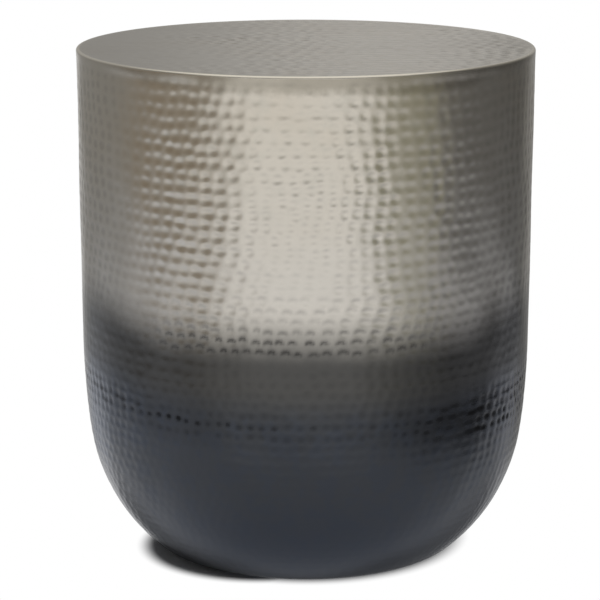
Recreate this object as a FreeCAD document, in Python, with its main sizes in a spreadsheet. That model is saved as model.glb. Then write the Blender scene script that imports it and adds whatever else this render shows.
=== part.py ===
import FreeCAD, Part
import math
import os
import Sketcher

# Hammered metal drum side table. Millimetres, +Z up, origin on the floor at the drum's axis.
# A rolled wall and a spun bowl are welded round two inner hoops, a sheet top closes the mouth,
# and the whole shell stands on four rubber pads.

document = FreeCAD.newDocument("DrumSideTable")

drivingSizes = [
    ("TopDiameter", 457.0),        # across the rim
    ("OverallHeight", 514.0),      # floor to the top face
    ("WallLean", 0.37),            # degrees that the wall opens towards the rim
    ("WallSheet", 1.5),            # sheet thickness of the wall
    ("BowlSheet", 1.5),            # sheet thickness of the bowl
    ("HeelRadius", 28.0),          # tight arc between the flat base and the flank
    ("HeelTurn", 41.0),            # degrees at which the heel becomes the flank
    ("FlankRadius", 180.0),        # main arc of the bowl
    ("FlankTurn", 80.6),           # degrees at which the flank becomes the shoulder
    ("ShoulderRadius", 643.0),     # slow arc that runs up into the wall
    ("PlateSheet", 2.5),           # thickness of the top plate
    ("PlateRound", 2.2),           # rounding of the top plate's rim
    ("WeldGap", 0.3),              # gap between a curved face and the sheet it backs
    ("RimHoopHeight", 32.0),
    ("RimHoopBar", 4.0),           # thickness of the rim hoop's flat bar
    ("WaistHoopHeight", 26.0),
    ("WaistHoopBar", 2.5),         # thickness of the waist hoop's flat bar
    ("BeadLeg", 3.0),              # leg of each fillet weld
    ("BeadArc", 5.0),              # degrees of hoop that one weld covers
    ("RimBeadCount", 12),
    ("WaistBeadCount", 12),
    ("StripWidth", 26.0),          # backing strip of the wall's upright seam
    ("StripSheet", 1.2),
    ("StripEndGap", 6.0),          # strip end to the hoop above or below
    ("GlueLayer", 0.5),            # adhesive under the top plate
    ("CoreThickness", 15.0),       # stiffening board under the top plate
    ("CoreGap", 1.0),              # board edge to the rim hoop
    ("LugSheet", 3.0),
    ("LugWidth", 26.0),
    ("LugReach", 30.0),            # lug leg under the board
    ("LugDrop", 15.0),             # lug leg down the hoop
    ("LugCount", 6),
    ("CoreScrewSize", 4.0),        # shank diameter of the board's screws
    ("CoreScrewLength", 14.0),
    ("CoreScrewHead", 8.0),        # head diameter
    ("CoreScrewHeadHeight", 2.6),
    ("ScrewFit", 0.15),            # radial play of a screw in its pilot or thread
    ("ScrewPlay", 0.5),            # radial play of a screw in a through hole
    ("PadStand", 4.0),             # height of the rubber pads
    ("PadDiameter", 34.0),
    ("PadInset", 6.0),             # pad edge to the edge of the flat base
    ("PadCount", 4),
    ("PadPhase", 45.0),            # degrees from +X to the first pad
    ("PadSeat", 1.2),              # rubber left under the washer
    ("PadRound", 0.8),             # rounding of the pad's lower edge
    ("WasherDiameter", 12.0),
    ("WasherSheet", 1.0),
    ("WasherPlay", 0.4),           # washer edge to the pad's recess
    ("PadScrewSize", 5.0),
    ("PadScrewHead", 9.4),
    ("PadScrewHeadHeight", 1.5),
    ("PadScrewTail", 3.0),         # thread showing past the nut
    ("DiscThickness", 12.0),       # plywood disc on the bowl's floor
    ("DiscInset", 4.0),            # disc edge to the edge of the flat base
    ("DiscOpening", 70.0),         # hole through the disc's middle
    ("NutFlange", 17.0),           # tee nut flange diameter
    ("NutFlangeSheet", 1.2),
    ("NutBarrel", 7.0),            # tee nut barrel diameter
    ("NutBarrelLength", 8.0),
    ("NutFit", 0.2),               # barrel to the hole in the disc
    ("VentDiameter", 16.0),        # drain and vent hole in the base
    ("PlugFit", 0.2),              # plug stem to the hole
    ("PlugFlange", 21.0),
    ("PlugFlangeSheet", 1.2),
    ("PlugStemLength", 8.0),
    ("PlugSkin", 1.2),             # wall of the hollow stem
    ("PlugBarb", 0.6),             # how far the barb stands out over the hole's edge
    ("PlugBarbHeight", 2.0),
]

layoutFormulas = [
    ("RimRadius", "Sizes.TopDiameter / 2"),
    ("PlateBottom", "Sizes.OverallHeight - Sizes.PlateSheet"),
    ("BaseBottom", "Sizes.PadStand"),
    ("BaseTop", "BaseBottom + Sizes.BowlSheet"),
    # heights of the joints between the bowl's arcs
    ("HeelTop", "BaseBottom + Sizes.HeelRadius * (1 - cos(Sizes.HeelTurn))"),
    ("FlankTop", "HeelTop + Sizes.FlankRadius * (cos(Sizes.HeelTurn) - cos(Sizes.FlankTurn))"),
    ("WallFoot", "FlankTop + Sizes.ShoulderRadius * (cos(Sizes.FlankTurn) - sin(Sizes.WallLean))"),
    # radii of the same joints, counted inwards from the rim
    ("Lean", "tan(Sizes.WallLean)"),
    ("WallFootRadius", "RimRadius - Lean * (PlateBottom - WallFoot)"),
    ("FlankTopRadius", "WallFootRadius - Sizes.ShoulderRadius * (cos(Sizes.WallLean) - sin(Sizes.FlankTurn))"),
    ("HeelTopRadius", "FlankTopRadius - Sizes.FlankRadius * (sin(Sizes.FlankTurn) - sin(Sizes.HeelTurn))"),
    ("BaseRadius", "HeelTopRadius - Sizes.HeelRadius * sin(Sizes.HeelTurn)"),
    # inner face of the bowl at the wall's foot
    ("ShoulderDrop", "Sizes.ShoulderRadius * sin(Sizes.WallLean)"),
    ("ShoulderCentre", "WallFootRadius - Sizes.ShoulderRadius * cos(Sizes.WallLean)"),
    ("BowlLipRadius", "ShoulderCentre + sqrt((Sizes.ShoulderRadius - Sizes.BowlSheet) ^ 2 - ShoulderDrop ^ 2)"),
    # the wall's inner face, measured level
    ("WallLevel", "Sizes.WallSheet / cos(Sizes.WallLean)"),
    ("RimHoopBottom", "PlateBottom - Sizes.RimHoopHeight"),
    ("RimHoopTopRadius", "RimRadius - WallLevel - Sizes.WeldGap"),
    ("RimHoopBottomRadius", "RimHoopTopRadius - Lean * Sizes.RimHoopHeight"),
    ("RimHoopInner", "RimHoopBottomRadius - Sizes.RimHoopBar"),
    ("WaistHoopBottom", "WallFoot - Sizes.WaistHoopHeight / 2"),
    ("WaistHoopTop", "WallFoot + Sizes.WaistHoopHeight / 2"),
    ("BackingRadius", "WallFootRadius - max(WallLevel; Sizes.BowlSheet) - Sizes.WeldGap"),
    ("WaistHoopTopRadius", "BackingRadius + Lean * Sizes.WaistHoopHeight / 2"),
    ("WaistHoopBottomRadius", "BackingRadius - Lean * Sizes.WaistHoopHeight / 2"
     " - (Sizes.WaistHoopHeight / 2) ^ 2 / (2 * Sizes.ShoulderRadius)"),
    # seam strip between the two hoops
    ("StripBottom", "WaistHoopTop + Sizes.BeadLeg + Sizes.StripEndGap"),
    ("StripTop", "RimHoopBottom - Sizes.BeadLeg - Sizes.StripEndGap"),
    ("StripTopRadius", "RimRadius - WallLevel - Sizes.WeldGap - Lean * (PlateBottom - StripTop)"),
    ("StripBottomRadius", "RimRadius - WallLevel - Sizes.WeldGap - Lean * (PlateBottom - StripBottom)"),
    ("StripAngle", "Sizes.StripWidth / StripTopRadius * 180 / pi"),
    # stiffening board under the plate
    ("CoreTop", "PlateBottom - Sizes.GlueLayer"),
    ("CoreBottom", "CoreTop - Sizes.CoreThickness"),
    ("CoreRadius", "RimHoopInner - Sizes.CoreGap"),
    ("LugBack", "sqrt((RimHoopInner - Sizes.WeldGap) ^ 2 - (Sizes.LugWidth / 2) ^ 2)"),
    ("LugBottom", "CoreBottom - Sizes.LugDrop"),
    ("CoreScrewCircle", "LugBack - Sizes.LugSheet / 2 - Sizes.LugReach / 2"),
    ("CoreScrewSeat", "CoreBottom - Sizes.LugSheet"),
    # base disc, pads and their fasteners
    ("DiscRadius", "BaseRadius - Sizes.DiscInset"),
    ("DiscTop", "BaseTop + Sizes.DiscThickness"),
    ("PadCircle", "BaseRadius - Sizes.PadInset - Sizes.PadDiameter / 2"),
    ("PadRecess", "Sizes.WasherDiameter / 2 + Sizes.WasherPlay"),
    ("PadHole", "Sizes.PadScrewSize / 2 + Sizes.ScrewPlay"),
    ("WasherTop", "BaseBottom - Sizes.PadSeat"),
    ("WasherBottom", "WasherTop - Sizes.WasherSheet"),
    ("PadScrewBottom", "WasherBottom - Sizes.PadScrewHeadHeight"),
    ("NutTop", "DiscTop + Sizes.NutFlangeSheet"),
    ("NutBottom", "DiscTop - Sizes.NutBarrelLength"),
    ("PadScrewTop", "NutTop + Sizes.PadScrewTail"),
    ("NutHole", "Sizes.NutBarrel / 2 + Sizes.NutFit"),
    ("NutThread", "Sizes.PadScrewSize / 2 + Sizes.ScrewFit"),
    ("VentRadius", "Sizes.VentDiameter / 2"),
    ("PlugStem", "VentRadius - Sizes.PlugFit"),
    ("PlugBore", "PlugStem - Sizes.PlugSkin"),
    ("PlugBottom", "BaseBottom - Sizes.PlugFlangeSheet"),
    ("PlugTop", "BaseBottom + Sizes.PlugStemLength"),
    ("BarbBottom", "BaseTop + Sizes.PlugFit"),
    ("BarbTop", "BarbBottom + Sizes.PlugBarbHeight"),
    ("BarbRadius", "VentRadius + Sizes.PlugBarb"),
]


def fillSheet(name, rows, prefix):
    # one row for each value: its name in column A, the value itself in column B
    sheet = document.addObject("Spreadsheet::Sheet", name)
    for number, (alias, value) in enumerate(rows, start=1):
        sheet.set("A%d" % number, alias)
        sheet.set("B%d" % number, prefix + str(value))
        sheet.setAlias("B%d" % number, alias)
    return sheet


sizes = fillSheet("Sizes", drivingSizes, "")
document.recompute()
layout = fillSheet("Layout", layoutFormulas, "=")
document.recompute()

for alias, formula in layoutFormulas:
    if not isinstance(layout.get(alias), (int, float)):
        raise ValueError("the layout value %s isn't a number" % alias)


def newBody(label):
    body = document.addObject("PartDesign::Body", label)
    body.Label = label
    return body


def originFeature(body, role):
    return [feature for feature in body.Origin.OriginFeatures if feature.Role == role][0]


def newSketch(body, plane, shift=None):
    # shift is the formula of how far the sketch's own axis lies from the body's axis
    sketch = body.newObject("Sketcher::SketchObject", body.Name + "Outline")
    sketch.AttachmentSupport = (originFeature(body, plane), [""])
    sketch.MapMode = "FlatFace"
    if shift:
        sketch.setExpression(".AttachmentOffset.Base.x", shift)
    return sketch


def arcBetween(start, end, radius, side):
    # the short arc from start to end; side +1 puts its centre on the left of the chord
    chord = end - start
    sagging = math.sqrt(radius ** 2 - (chord.Length / 2) ** 2)
    left = FreeCAD.Vector(-chord.y, chord.x, 0).normalize()
    centre = (start + end) / 2 + left * sagging * side
    middle = centre - left * radius * side
    return Part.Arc(start, middle, end)


def drawOutline(sketch, corners, rounds=None):
    # corners: (x formula, y formula) in order; rounds: side number -> (radius formula, side)
    rounds = rounds or {}
    points = [FreeCAD.Vector(sketch.evalExpression(x), sketch.evalExpression(y), 0) for x, y in corners]
    count = len(corners)
    starts = []
    for number in range(count):
        start = points[number]
        end = points[(number + 1) % count]
        if number in rounds:
            formula, side = rounds[number]
            arc = arcBetween(start, end, sketch.evalExpression(formula), side)
            sketch.addGeometry(arc, False)
            # a sketch keeps every arc anticlockwise, so a clockwise one ends at its start
            starts.append((1, 2) if side > 0 else (2, 1))
        else:
            sketch.addGeometry(Part.LineSegment(start, end), False)
            starts.append((1, 2))
    for number in range(count):
        following = (number + 1) % count
        sketch.addConstraint(
            Sketcher.Constraint("Coincident", number, starts[number][1], following, starts[following][0]))
    for number, (x, y) in enumerate(corners):
        vertex = starts[number][0]
        for kind, axis, formula, value in (
                ("DistanceX", -2, x, points[number].x), ("DistanceY", -1, y, points[number].y)):
            if formula == "0":
                sketch.addConstraint(Sketcher.Constraint("PointOnObject", number, vertex, axis))
            else:
                place = sketch.addConstraint(Sketcher.Constraint(kind, -1, 1, number, vertex, value))
                sketch.setExpression("Constraints[%d]" % place, formula)
    for number, (formula, side) in rounds.items():
        radius = sketch.evalExpression(formula)
        place = sketch.addConstraint(Sketcher.Constraint("Radius", number, radius))
        sketch.setExpression("Constraints[%d]" % place, formula)
    return sketch


def revolve(sketch, body, angle="360"):
    turned = body.newObject("PartDesign::Revolution", body.Name + "Turned")
    turned.Profile = sketch
    turned.ReferenceAxis = (sketch, ["V_Axis"])
    turned.setExpression("Angle", angle)
    turned.Midplane = angle != "360"
    return turned


def drillThrough(body, offset, radiusFormula):
    # an upright hole right through, at a distance from the axis along X
    sketch = newSketch(body, "XY_Plane")
    centre = FreeCAD.Vector(sketch.evalExpression(offset) if offset != "0" else 0.0, 0, 0)
    circle = Part.Circle(centre, FreeCAD.Vector(0, 0, 1), sketch.evalExpression(radiusFormula))
    sketch.addGeometry(circle, False)
    place = sketch.addConstraint(Sketcher.Constraint("Radius", 0, circle.Radius))
    sketch.setExpression("Constraints[%d]" % place, radiusFormula)
    if offset == "0":
        sketch.addConstraint(Sketcher.Constraint("Coincident", 0, 3, -1, 1))
    else:
        sketch.addConstraint(Sketcher.Constraint("PointOnObject", 0, 3, -1))
        place = sketch.addConstraint(Sketcher.Constraint("DistanceX", -1, 1, 0, 3, centre.x))
        sketch.setExpression("Constraints[%d]" % place, offset)
    document.recompute()
    before = body.Tip.Shape.Volume
    pocket = body.newObject("PartDesign::Pocket", body.Name + "Hole")
    pocket.Profile = sketch
    pocket.Type = "ThroughAll"
    pocket.Midplane = True
    document.recompute()
    if pocket.Shape.Volume >= before:
        raise ValueError("the hole in %s cuts nothing" % body.Label)
    return pocket


def repeatRound(body, count, features=None):
    # copies round the drum's axis: of the given features, or of the whole body
    document.recompute()
    pattern = body.newObject("PartDesign::PolarPattern", body.Name + "Round")
    if features:
        pattern.Originals = features
    else:
        pattern.TransformMode = "Whole shape"
    pattern.Axis = (originFeature(body, "Z_Axis"), [""])
    pattern.Angle = 360
    pattern.setExpression("Occurrences", count)
    body.Tip = pattern
    return pattern


def makeTopPlate():
    # flat sheet disc on the wall's upper edge, its rim rounded over
    body = newBody("top_plate")
    corners = [
        ("0", "Layout.PlateBottom"),
        ("Layout.RimRadius", "Layout.PlateBottom"),
        ("Layout.RimRadius", "Sizes.OverallHeight - Sizes.PlateRound"),
        ("Layout.RimRadius - Sizes.PlateRound", "Sizes.OverallHeight"),
        ("0", "Sizes.OverallHeight"),
    ]
    sketch = drawOutline(newSketch(body, "XZ_Plane"), corners, {2: ("Sizes.PlateRound", 1)})
    revolve(sketch, body)


def makeCoreAdhesive():
    body = newBody("core_adhesive")
    corners = [
        ("0", "Layout.CoreTop"),
        ("Layout.CoreRadius", "Layout.CoreTop"),
        ("Layout.CoreRadius", "Layout.PlateBottom"),
        ("0", "Layout.PlateBottom"),
    ]
    revolve(drawOutline(newSketch(body, "XZ_Plane"), corners), body)


def makeTopCore():
    # stiffening board, with a pilot hole for each screw that comes up through a lug
    body = newBody("top_core")
    corners = [
        ("0", "Layout.CoreBottom"),
        ("Layout.CoreRadius", "Layout.CoreBottom"),
        ("Layout.CoreRadius", "Layout.CoreTop"),
        ("0", "Layout.CoreTop"),
    ]
    revolve(drawOutline(newSketch(body, "XZ_Plane"), corners), body)
    hole = drillThrough(body, "Layout.CoreScrewCircle", "Sizes.CoreScrewSize / 2 + Sizes.ScrewFit")
    repeatRound(body, "Sizes.LugCount", [hole])


def makeRimHoop():
    # flat bar rolled to the wall's lean, with an upright inner face
    body = newBody("rim_hoop")
    corners = [
        ("Layout.RimHoopInner", "Layout.RimHoopBottom"),
        ("Layout.RimHoopBottomRadius", "Layout.RimHoopBottom"),
        ("Layout.RimHoopTopRadius", "Layout.PlateBottom"),
        ("Layout.RimHoopInner", "Layout.PlateBottom"),
    ]
    revolve(drawOutline(newSketch(body, "XZ_Plane"), corners), body)


def makeHoopWelds(label, faceHeight, wallRadius, direction, count):
    # short fillet welds between one edge of a hoop and the sheet that it backs
    body = newBody(label)
    outer = "(%s) - Sizes.WeldGap / 3" % wallRadius
    tip = "(%s) %s Sizes.BeadLeg" % (faceHeight, direction)
    corners = [
        ("%s - Sizes.BeadLeg" % outer, faceHeight),
        (outer, faceHeight),
        ("%s - Sizes.BeadLeg * Layout.Lean" % outer, tip),
    ]
    if direction == "-":
        corners.reverse()
    revolve(drawOutline(newSketch(body, "XZ_Plane"), corners), body, "Sizes.BeadArc")
    repeatRound(body, count)


def makeDrumWall():
    # rolled sheet that opens slightly towards the rim
    body = newBody("drum_wall")
    corners = [
        ("Layout.WallFootRadius - Layout.WallLevel", "Layout.WallFoot"),
        ("Layout.WallFootRadius", "Layout.WallFoot"),
        ("Layout.RimRadius", "Layout.PlateBottom"),
        ("Layout.RimRadius - Layout.WallLevel", "Layout.PlateBottom"),
    ]
    revolve(drawOutline(newSketch(body, "XZ_Plane"), corners), body)


def makeSeamStrip():
    # backing strip behind the wall's upright weld, at the back of the drum
    body = newBody("wall_seam_strip")
    corners = [
        ("Layout.StripBottomRadius - Sizes.StripSheet", "Layout.StripBottom"),
        ("Layout.StripBottomRadius", "Layout.StripBottom"),
        ("Layout.StripTopRadius", "Layout.StripTop"),
        ("Layout.StripTopRadius - Sizes.StripSheet", "Layout.StripTop"),
    ]
    revolve(drawOutline(newSketch(body, "XZ_Plane"), corners), body, "Layout.StripAngle")
    body.Placement = FreeCAD.Placement(FreeCAD.Vector(), FreeCAD.Rotation(FreeCAD.Vector(0, 0, 1), 90))


def makeWaistHoop():
    # flat bar behind the joint of wall and bowl, half its height on each
    body = newBody("waist_hoop")
    corners = [
        ("Layout.WaistHoopBottomRadius - Sizes.WaistHoopBar", "Layout.WaistHoopBottom"),
        ("Layout.WaistHoopBottomRadius", "Layout.WaistHoopBottom"),
        ("Layout.WaistHoopTopRadius", "Layout.WaistHoopTop"),
        ("Layout.WaistHoopTopRadius - Sizes.WaistHoopBar", "Layout.WaistHoopTop"),
    ]
    revolve(drawOutline(newSketch(body, "XZ_Plane"), corners), body)


def makeLowerBowl():
    # flat base, then three arcs that meet tangentially: heel, flank and shoulder
    body = newBody("lower_bowl")
    sheet = "Sizes.BowlSheet"
    heelIn = "Layout.HeelTopRadius - %s * sin(Sizes.HeelTurn)" % sheet
    flankIn = "Layout.FlankTopRadius - %s * sin(Sizes.FlankTurn)" % sheet
    corners = [
        ("0", "Layout.BaseBottom"),
        ("Layout.BaseRadius", "Layout.BaseBottom"),
        ("Layout.HeelTopRadius", "Layout.HeelTop"),
        ("Layout.FlankTopRadius", "Layout.FlankTop"),
        ("Layout.WallFootRadius", "Layout.WallFoot"),
        ("Layout.BowlLipRadius", "Layout.WallFoot"),
        (flankIn, "Layout.FlankTop + %s * cos(Sizes.FlankTurn)" % sheet),
        (heelIn, "Layout.HeelTop + %s * cos(Sizes.HeelTurn)" % sheet),
        ("Layout.BaseRadius", "Layout.BaseTop"),
        ("0", "Layout.BaseTop"),
    ]
    rounds = {
        1: ("Sizes.HeelRadius", 1),
        2: ("Sizes.FlankRadius", 1),
        3: ("Sizes.ShoulderRadius", 1),
        5: ("Sizes.ShoulderRadius - %s" % sheet, -1),
        6: ("Sizes.FlankRadius - %s" % sheet, -1),
        7: ("Sizes.HeelRadius - %s" % sheet, -1),
    }
    revolve(drawOutline(newSketch(body, "XZ_Plane"), corners, rounds), body)
    drillThrough(body, "0", "Layout.VentRadius")
    hole = drillThrough(body, "Layout.PadCircle", "Layout.PadHole")
    repeatRound(body, "Sizes.PadCount", [hole])
    turnToPads(body)


def turnToPads(body):
    body.setExpression("Placement.Rotation.Angle", "Sizes.PadPhase")


def makeCoreLugs():
    # angle lugs welded inside the rim hoop, one leg under the board
    body = newBody("core_lugs")
    corners = [
        ("Layout.LugBack - Sizes.LugReach", "Layout.CoreScrewSeat"),
        ("Layout.LugBack - Sizes.LugSheet", "Layout.CoreScrewSeat"),
        ("Layout.LugBack - Sizes.LugSheet", "Layout.LugBottom"),
        ("Layout.LugBack", "Layout.LugBottom"),
        ("Layout.LugBack", "Layout.CoreBottom"),
        ("Layout.LugBack - Sizes.LugReach", "Layout.CoreBottom"),
    ]
    pad = body.newObject("PartDesign::Pad", "LugBar")
    pad.Profile = drawOutline(newSketch(body, "XZ_Plane"), corners)
    pad.setExpression("Length", "Sizes.LugWidth")
    pad.Midplane = True
    drillThrough(body, "Layout.CoreScrewCircle", "Sizes.CoreScrewSize / 2 + Sizes.ScrewPlay")
    repeatRound(body, "Sizes.LugCount")


def makeTurnedGroup(label, circle, corners, count, rounds=None):
    # a small turned piece on its own upright axis, repeated round the drum
    body = newBody(label)
    revolve(drawOutline(newSketch(body, "XZ_Plane", circle), corners, rounds), body)
    repeatRound(body, count)
    return body


def makeCoreScrews():
    head = "Sizes.CoreScrewHead / 2"
    shank = "Sizes.CoreScrewSize / 2"
    seat = "Layout.CoreScrewSeat"
    tail = "Layout.CoreScrewSeat + Sizes.CoreScrewLength"
    corners = [
        ("0", seat + " - Sizes.CoreScrewHeadHeight"),
        (head + " * 0.6", seat + " - Sizes.CoreScrewHeadHeight"),
        (head, seat),
        (shank, seat),
        (shank, tail + " - " + shank),
        ("0", tail),
    ]
    makeTurnedGroup("core_screws", "Layout.CoreScrewCircle", corners, "Sizes.LugCount")


def makeBaseDisc():
    # plywood ring on the bowl's floor, which takes the tee nuts
    body = newBody("base_disc")
    corners = [
        ("Sizes.DiscOpening / 2", "Layout.BaseTop"),
        ("Layout.DiscRadius", "Layout.BaseTop"),
        ("Layout.DiscRadius", "Layout.DiscTop"),
        ("Sizes.DiscOpening / 2", "Layout.DiscTop"),
    ]
    revolve(drawOutline(newSketch(body, "XZ_Plane"), corners), body)
    hole = drillThrough(body, "Layout.PadCircle", "Layout.NutHole")
    repeatRound(body, "Sizes.PadCount", [hole])
    turnToPads(body)


def makeTeeNuts():
    flange = "Sizes.NutFlange / 2"
    barrel = "Sizes.NutBarrel / 2"
    corners = [
        ("Layout.NutThread", "Layout.NutBottom"),
        (barrel, "Layout.NutBottom"),
        (barrel, "Layout.DiscTop"),
        (flange, "Layout.DiscTop"),
        (flange, "Layout.NutTop"),
        ("Layout.NutThread", "Layout.NutTop"),
    ]
    turnToPads(makeTurnedGroup("tee_nuts", "Layout.PadCircle", corners, "Sizes.PadCount"))


def makeFootPads():
    # rubber pad with a recess in its lower face for the washer and the screw's head
    edge = "Sizes.PadDiameter / 2"
    corners = [
        ("Layout.PadRecess", "0"),
        (edge + " - Sizes.PadRound", "0"),
        (edge, "Sizes.PadRound"),
        (edge, "Layout.BaseBottom"),
        ("Layout.PadHole", "Layout.BaseBottom"),
        ("Layout.PadHole", "Layout.WasherTop"),
        ("Layout.PadRecess", "Layout.WasherTop"),
    ]
    rounds = {1: ("Sizes.PadRound", 1)}
    turnToPads(makeTurnedGroup("foot_pads", "Layout.PadCircle", corners, "Sizes.PadCount", rounds))


def makePadWashers():
    corners = [
        ("Layout.PadHole", "Layout.WasherBottom"),
        ("Sizes.WasherDiameter / 2", "Layout.WasherBottom"),
        ("Sizes.WasherDiameter / 2", "Layout.WasherTop"),
        ("Layout.PadHole", "Layout.WasherTop"),
    ]
    turnToPads(makeTurnedGroup("pad_washers", "Layout.PadCircle", corners, "Sizes.PadCount"))


def makePadScrews():
    head = "Sizes.PadScrewHead / 2"
    shank = "Sizes.PadScrewSize / 2"
    corners = [
        ("0", "Layout.PadScrewBottom"),
        (head, "Layout.PadScrewBottom"),
        (head, "Layout.WasherBottom"),
        (shank, "Layout.WasherBottom"),
        (shank, "Layout.PadScrewTop"),
        ("0", "Layout.PadScrewTop"),
    ]
    turnToPads(makeTurnedGroup("pad_screws", "Layout.PadCircle", corners, "Sizes.PadCount"))


def makeVentPlug():
    # hollow snap-in plug: flange below the base, barb above it
    body = newBody("vent_plug")
    corners = [
        ("0", "Layout.PlugBottom"),
        ("Sizes.PlugFlange / 2", "Layout.PlugBottom"),
        ("Sizes.PlugFlange / 2", "Layout.BaseBottom"),
        ("Layout.PlugStem", "Layout.BaseBottom"),
        ("Layout.PlugStem", "Layout.BarbBottom"),
        ("Layout.BarbRadius", "Layout.BarbBottom"),
        ("Layout.PlugStem", "Layout.BarbTop"),
        ("Layout.PlugStem", "Layout.PlugTop"),
        ("Layout.PlugBore", "Layout.PlugTop"),
        ("Layout.PlugBore", "Layout.BaseBottom"),
        ("0", "Layout.BaseBottom"),
    ]
    revolve(drawOutline(newSketch(body, "XZ_Plane"), corners), body)


makeTopPlate()
makeCoreAdhesive()
makeTopCore()
makeRimHoop()
makeHoopWelds("rim_hoop_welds", "Layout.RimHoopBottom",
              "Layout.RimHoopBottomRadius + Sizes.WeldGap", "-", "Sizes.RimBeadCount")
makeCoreLugs()
makeCoreScrews()
makeDrumWall()
makeSeamStrip()
makeWaistHoop()
makeHoopWelds("waist_hoop_welds", "Layout.WaistHoopTop",
              "Layout.WaistHoopTopRadius + Sizes.WeldGap", "+", "Sizes.WaistBeadCount")
makeLowerBowl()
makeBaseDisc()
makeTeeNuts()
makeFootPads()
makePadWashers()
makePadScrews()
makeVentPlug()

document.recompute()

bodies = [item for item in document.Objects if item.TypeId == "PartDesign::Body"]
for item in document.Objects:
    if "Invalid" in item.State or "Error" in item.State:
        raise ValueError("%s failed: %s" % (item.Label, item.State))
for body in bodies:
    if body.Shape.isNull() or not body.Shape.isValid() or not body.Shape.Solids:
        raise ValueError("%s has no valid solid" % body.Label)

os.makedirs("parts", exist_ok=True)
for body in bodies:
    body.Shape.exportStep(os.path.join("parts", body.Label + ".step"))
    box = body.Shape.optimalBoundingBox()
    print("%-18s %2d solids  %9.1f mm3  z %7.2f to %7.2f  across %6.1f" % (
        body.Label, len(body.Shape.Solids), body.Shape.Volume, box.ZMin, box.ZMax, box.XLength))
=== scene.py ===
import math

import bpy
import numpy as np
from mathutils import Matrix, Vector


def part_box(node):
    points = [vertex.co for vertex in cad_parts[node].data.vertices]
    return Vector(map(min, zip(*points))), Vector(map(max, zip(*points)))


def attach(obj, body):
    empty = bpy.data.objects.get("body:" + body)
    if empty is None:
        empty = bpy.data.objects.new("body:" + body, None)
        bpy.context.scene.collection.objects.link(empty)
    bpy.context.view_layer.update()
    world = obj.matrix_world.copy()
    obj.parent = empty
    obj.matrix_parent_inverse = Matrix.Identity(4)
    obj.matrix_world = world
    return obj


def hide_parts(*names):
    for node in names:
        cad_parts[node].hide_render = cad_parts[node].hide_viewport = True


# Drum side table: a hammered metal drum, champagne nickel above and gunmetal below.
# Shapes are in millimetres until a mesh is made; materials, lights and camera are in metres.

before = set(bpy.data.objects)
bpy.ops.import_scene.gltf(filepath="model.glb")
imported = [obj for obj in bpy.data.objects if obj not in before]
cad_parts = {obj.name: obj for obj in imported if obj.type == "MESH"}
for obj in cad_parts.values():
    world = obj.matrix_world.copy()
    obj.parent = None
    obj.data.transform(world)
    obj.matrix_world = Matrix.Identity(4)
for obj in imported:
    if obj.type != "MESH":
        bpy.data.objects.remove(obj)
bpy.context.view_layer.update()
print("frame loaded", sorted(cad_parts))

mm = 0.001
sharpEdge = math.radians(50)  # an edge that turns more than this stays sharp in the shading


def nodeBox(node):
    # lowest and highest corner of a CAD node, in millimetres
    low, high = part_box(node)
    return np.array(low) / mm, np.array(high) / mm


def smooth(value, low, high):
    # 0 below low, 1 above high, an S-shaped rise between
    t = np.clip((value - low) / (high - low), 0.0, 1.0)
    return t * t * (3.0 - 2.0 * t)


def between(value, rise, fall):
    # an S-shaped rise over the first pair of values, and a fall over the second
    return smooth(value, *rise) * (1 - smooth(value, *fall))


def bell(value, middle, spread, power=2):
    # 1 in the middle, and exp(-(distance / spread)^power) away from it
    return np.exp(-((value - middle) / spread) ** power)


def gridMesh(name, points, closedRows=False, poles=()):
    # points is rows x columns x 3; columns wrap round, rows may wrap too,
    # and a pole closes the first or last row with a fan to one point
    rows, columns, _ = points.shape
    flat = points.reshape(-1, 3)
    index = np.arange(rows * columns).reshape(rows, columns)
    lower = index if closedRows else index[:-1]
    upper = np.roll(index, -1, axis=0) if closedRows else index[1:]
    quads = np.stack([lower, np.roll(lower, -1, axis=1), np.roll(upper, -1, axis=1), upper], axis=-1)
    quads = quads.reshape(-1, 4)
    loops = [quads.ravel()]
    sizes = [np.full(len(quads), 4)]
    for row, place in poles:
        flat = np.vstack([flat, place])
        tip = np.full(columns, len(flat) - 1)
        edge = index[row]
        following = np.roll(edge, -1)
        fan = [tip, following, edge] if row == 0 else [edge, following, tip]
        loops.append(np.stack(fan, axis=-1).ravel())
        sizes.append(np.full(columns, 3))
    loops = np.concatenate(loops)
    sizes = np.concatenate(sizes)
    mesh = bpy.data.meshes.new(name)
    mesh.vertices.add(len(flat))
    mesh.vertices.foreach_set("co", (flat * mm).astype(np.float32).ravel())
    mesh.loops.add(len(loops))
    mesh.loops.foreach_set("vertex_index", loops.astype(np.int32))
    mesh.polygons.add(len(sizes))
    starts = np.concatenate([[0], np.cumsum(sizes)[:-1]])
    mesh.polygons.foreach_set("loop_start", starts.astype(np.int32))
    mesh.polygons.foreach_set("use_smooth", np.ones(len(sizes), dtype=bool))
    mesh.update(calc_edges=True)
    mesh.validate()
    mesh.set_sharp_from_angle(angle=sharpEdge)
    piece = bpy.data.objects.new(name, mesh)
    bpy.context.collection.objects.link(piece)
    return piece


def setAttribute(piece, name, values):
    # one number for each vertex, which the piece's material reads by name
    attribute = piece.data.attributes.new(name, "FLOAT", "POINT")
    attribute.data.foreach_set("value", values.astype(np.float32).ravel())


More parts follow.
